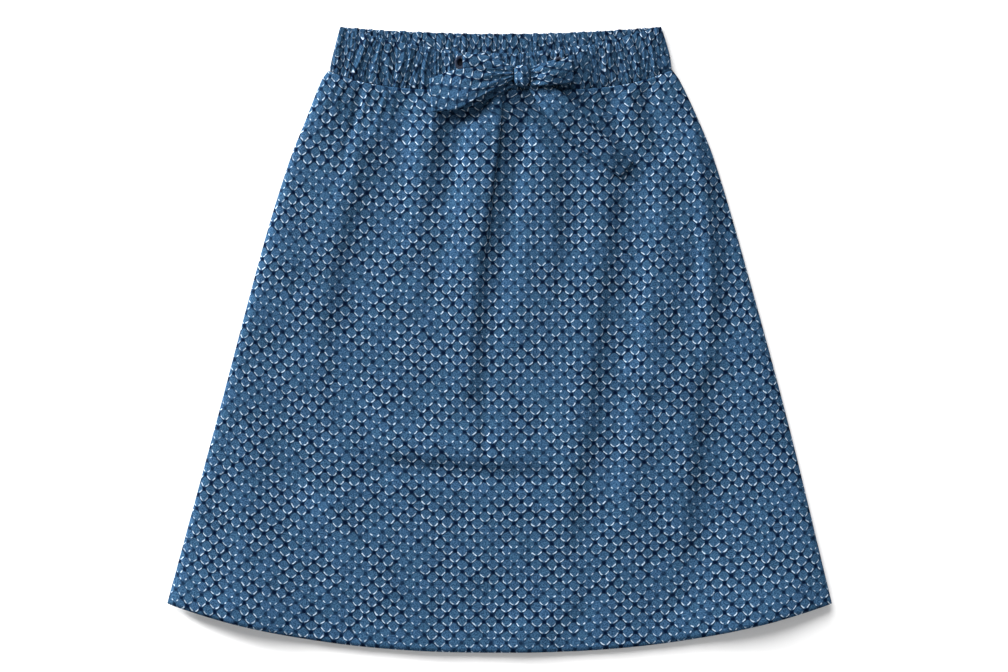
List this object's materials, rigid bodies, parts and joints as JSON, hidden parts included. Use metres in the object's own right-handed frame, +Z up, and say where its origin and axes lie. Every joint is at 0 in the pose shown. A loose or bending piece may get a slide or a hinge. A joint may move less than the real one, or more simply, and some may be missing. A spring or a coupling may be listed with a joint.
{
  "type": "a-line skirt",
  "caption": "Knee-length A-line skirt in printed cotton with a gathered elastic waistband and a tie bow, laid flat with its front up.",
  "frame": {"origin": "middle of the laid outline, on the surface that it lies on", "axes": "+X across to the wearer's left, +Y up to the waist, +Z up from the surface, out of the front"},
  "size_m": [0.6962, 0.6565, 0.0178],
  "materials": {
    "printed_cotton": "matt woven cotton with a small two-blue dot print",
    "gathered_band": "the same cotton gathered on elastic",
    "tie_cotton": "the same cotton as a sewn tie"
  },
  "bodies": {
    "root": {"front_panel": "printed_cotton", "back_panel": "printed_cotton", "waistband_front": "gathered_band", "waistband_back": "gathered_band", "tie_strip_left": "tie_cotton", "tie_strip_right": "tie_cotton", "bow_knot": "tie_cotton", "bow_loop_left": "tie_cotton", "bow_loop_right": "tie_cotton", "bow_tail_left": "tie_cotton", "bow_tail_right": "tie_cotton"}
  },
  "joints": []
}
